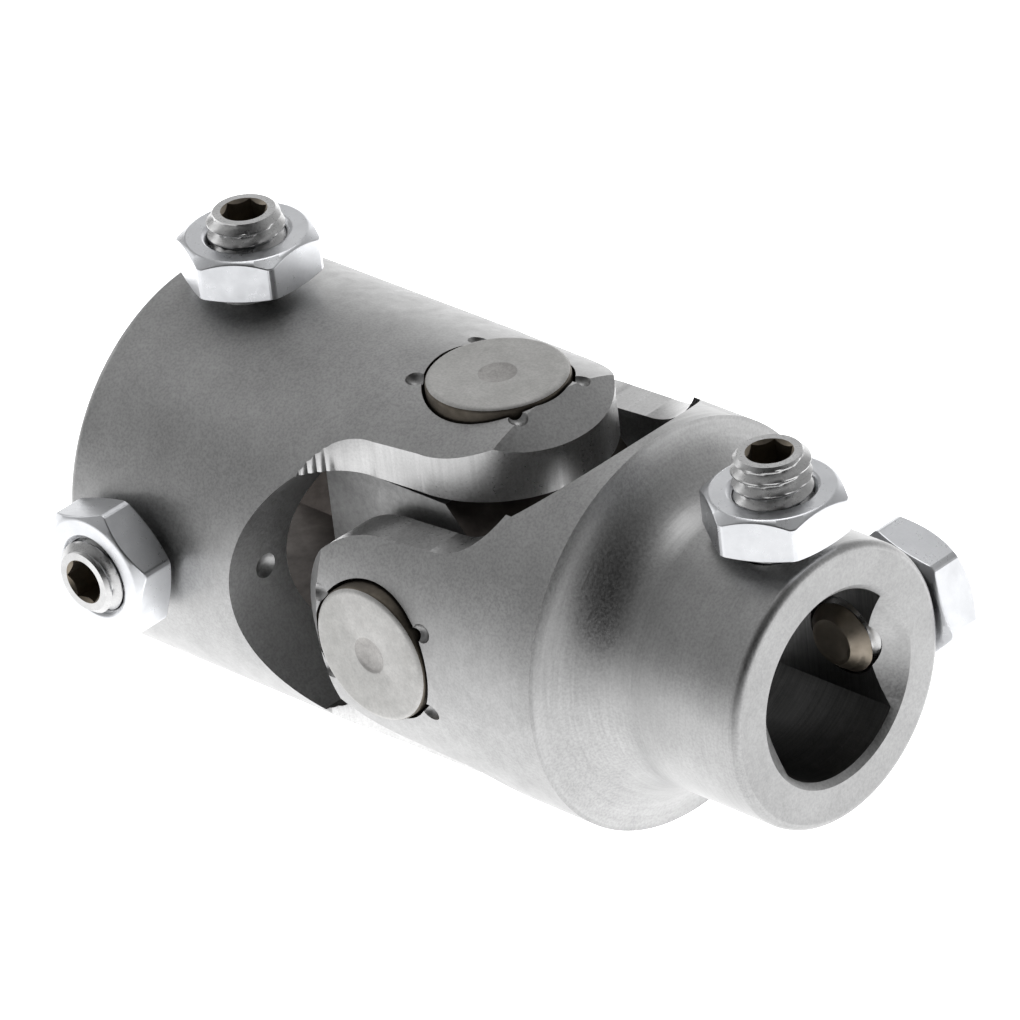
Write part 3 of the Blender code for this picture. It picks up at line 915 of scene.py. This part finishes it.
def jam_nut(name, place, low, angle):
    """A chamfered hexagon nut whose edges are all slightly broken."""
    high = low + NUT_THICKNESS
    half_flats = NUT_ACROSS_FLATS / 2
    corner = NUT_ACROSS_FLATS / sqrt(3) - 0.16 * MM
    face, hole = NUT_FACE_RADIUS, NUT_HOLE_RADIUS
    sink, soft = 0.5 * MM, 0.08 * MM
    count = 240
    bm = bmesh.new()
    strips = []

    def half_section(side, slope):
        """From the hole to the flat, as (radius, depth below the face)."""
        drop = slope * (side - face)
        return [
            (hole, sink),
            (hole + 0.1 * MM, sink - 0.16 * MM),
            (hole + sink - soft, 0.06 * MM),
            (hole + sink + soft, 0.0),
            (face - soft, 0.0),
            (face, 0.03 * MM),
            (face + soft, soft * slope),
            (side - soft, drop - soft * slope),
            (side - 0.03 * MM, drop),
            (side, drop + soft),
        ]

    for i in range(count):
        turn = 2 * pi * i / count
        side = min(half_flats / cos(turn % (pi / 3) - pi / 6), corner)
        upper = half_section(side, NUT_CHAMFER_SLOPE)
        lower = half_section(side, NUT_SEAT_CHAMFER_SLOPE)
        strip = [(radius, high - depth) for radius, depth in upper]
        strip += [(radius, low + depth) for radius, depth in reversed(lower)]
        strips.append([bm.verts.new((radius * cos(turn), radius * sin(turn), z)) for radius, z in strip])
    size = len(strips[0])
    for i in range(count):
        now, after = strips[i], strips[(i + 1) % count]
        for k in range(size):
            m = (k + 1) % size
            bm.faces.new([now[k], now[m], after[m], after[k]])
    made = solid(bm, name, place @ Matrix.Rotation(angle, 4, "Z"))
    made.data.shade_smooth()
    made.data.set_sharp_from_angle(angle=radians(26))
    paint(made, ("nut",), lambda centre, normal: "nut")
    flat_normals(made, 0.1 * MM * MM)
    return made


def build_fasteners():
    for side, (x, way, nut_foot, reach, angle) in FASTENERS.items():
        place = Matrix.Translation((x, 0.0, 0.0)) @ OUTWARD[way]
        screw = set_screw(f"{side}_screw_piece", place, reach)
        settle(screw, f"{side}_screw", f"{side}_set_screw")
        nut = jam_nut(f"{side}_nut_piece", place, nut_foot, angle)
        settle(nut, f"{side}_nut", f"{side}_jam_nut")


# --------------------------------------------------- floor, light and camera


TABLE_SPAN = 0.2
TABLE_GLOW = 2.25
STUDIO_STRENGTH = 1.8
FRONT_RIGHT = (0.73, -0.68)


def light_table(tree):
    """How brightly the white table glows: nearly even, a little weaker in front than behind."""
    coords = tree.nodes.new("ShaderNodeTexCoord")
    split = tree.nodes.new("ShaderNodeSeparateXYZ")
    tree.links.new(coords.outputs["Object"], split.inputs["Vector"])
    span = TABLE_SPAN
    along_y = math_node(tree, "MULTIPLY_ADD", split.outputs["Y"], 1 / span)
    along_y.node.inputs[2].default_value = 0.5
    depth = ramp(tree, along_y, [(0.0, 0.46), (0.46, 0.86), (0.75, 0.80)])
    to_camera = tree.nodes.new("ShaderNodeVectorMath")
    to_camera.operation = "DOT_PRODUCT"
    to_camera.inputs[1].default_value = (FRONT_RIGHT[0] / span, FRONT_RIGHT[1] / span, 0.0)
    tree.links.new(coords.outputs["Object"], to_camera.inputs[0])
    nearness = ramp(tree, to_camera.outputs["Value"], [(0.1, 1.0), (1.0, 0.8)])
    sideways = math_node(tree, "MULTIPLY_ADD", split.outputs["X"], 1 / span)
    sideways.node.inputs[2].default_value = 0.5
    right_end = ramp(tree, sideways, [(0.5, 1.0), (1.0, 0.85)])
    glow = mixed(tree, "MULTIPLY", 1.0, depth, nearness)
    glow = mixed(tree, "MULTIPLY", 1.0, glow, right_end)
    return math_node(tree, "MULTIPLY", glow, TABLE_GLOW)


def build_stage():
    """A white table in a grey studio: pale low panel behind, dark on the camera's side of the room."""
    bpy.ops.mesh.primitive_plane_add(size=3.0, location=(0.0, 0.0, -0.0002))
    floor = bpy.context.object
    floor.name = "floor"
    made, tree, shader = new_material("floor_white")
    shader.inputs["Base Color"].default_value = (0.45, 0.45, 0.455, 1.0)
    shader.inputs["Roughness"].default_value = 0.6
    shader.inputs["Emission Color"].default_value = (1.0, 1.0, 1.0, 1.0)
    tree.links.new(light_table(tree), shader.inputs["Emission Strength"])
    floor.data.materials.append(made)

    world = bpy.data.worlds.new("studio")
    bpy.context.scene.world = world
    world.use_nodes = True
    tree = world.node_tree
    coords = tree.nodes.new("ShaderNodeTexCoord")
    split = tree.nodes.new("ShaderNodeSeparateXYZ")
    tree.links.new(coords.outputs["Generated"], split.inputs["Vector"])
    behind = ramp(tree, split.outputs["Y"], [(0.45, 0.0), (0.66, 1.0)])
    low = ramp(tree, split.outputs["Z"], [(0.30, 1.0), (0.50, 0.0)])
    leftward = ramp(tree, math_node(tree, "MULTIPLY", split.outputs["X"], -1.0), [(0.0, 0.15), (0.4, 1.0)])
    panel = mixed(tree, "MULTIPLY", 1.0, mixed(tree, "MULTIPLY", 1.0, behind, low), leftward)
    sky = mixed(tree, "MIX", panel, (0.25, 0.25, 0.25), (1.0, 1.0, 1.0))
    facing = tree.nodes.new("ShaderNodeVectorMath")
    facing.operation = "DOT_PRODUCT"
    facing.inputs[1].default_value = TO_CAMERA
    tree.links.new(coords.outputs["Generated"], facing.inputs[0])
    dark_side = ramp(tree, facing.outputs["Value"], [(0.45, 1.0), (0.75, 0.25), (0.93, 0.04), (1.0, 0.02)])
    tint = mixed(tree, "MULTIPLY", 1.0, sky, dark_side)
    back = tree.nodes["Background"]
    tree.links.new(tint, back.inputs["Color"])
    back.inputs["Strength"].default_value = STUDIO_STRENGTH


def area_light(name, where, toward, size, power, height=None):
    data = bpy.data.lights.new(name, "AREA")
    data.energy = power
    data.shape = "RECTANGLE"
    data.size = size
    data.size_y = height or size
    lamp = bpy.data.objects.new(name, data)
    bpy.context.scene.collection.objects.link(lamp)
    lamp.location = CENTRE + Vector(where)
    direction = (Vector(toward) - Vector(where)).normalized()
    lamp.rotation_euler = direction.to_track_quat("-Z", "Y").to_euler()


def build_lights():
    area_light("top_softbox", (-0.10, 0.15, 0.50), (0.0, 0.0, 0.0), 0.30, 0.5)
    area_light("left_softbox", (-0.50, -0.10, 0.25), (0.0, 0.0, 0.0), 0.25, 0.25)


def build_camera():
    """A long lens on the right front, above the part, rolled so that the shaft line falls to the right."""
    back = Vector(TO_CAMERA)
    right = Vector((cos(CAMERA_AZIMUTH), sin(CAMERA_AZIMUTH), 0.0))
    up = back.cross(right)
    rolled_right = right * cos(CAMERA_ROLL) + up * sin(CAMERA_ROLL)
    rolled_up = up * cos(CAMERA_ROLL) - right * sin(CAMERA_ROLL)
    data = bpy.data.cameras.new("camera")
    data.sensor_width = SENSOR_WIDTH
    data.lens = FOCAL_LENGTH_IN_IMAGE_WIDTHS * SENSOR_WIDTH
    data.clip_start = 0.05
    data.clip_end = 10.0
    camera = bpy.data.objects.new("camera", data)
    bpy.context.scene.collection.objects.link(camera)
    turn = Matrix((rolled_right, rolled_up, back)).transposed().to_4x4()
    place = CENTRE + back * CAMERA_DISTANCE
    place += rolled_right * CAMERA_RIGHT_SHIFT + rolled_up * CAMERA_UP_SHIFT
    camera.matrix_world = Matrix.Translation(place) @ turn
    bpy.context.scene.camera = camera


FINISHES = make_materials()
build_yokes()
build_cross()
for side, way, body in (
    ("top", "up", "large_yoke"),
    ("bottom", "down", "large_yoke"),
    ("front", "front", "small_yoke"),
    ("back", "back", "small_yoke"),
):
    build_cup(side, way, body)
    build_seal(side, way, body)
    build_needles(side, way, f"{side}_needles")
build_fasteners()
build_stage()
build_lights()
build_camera()

bpy.context.scene.view_settings.view_transform = "Standard"
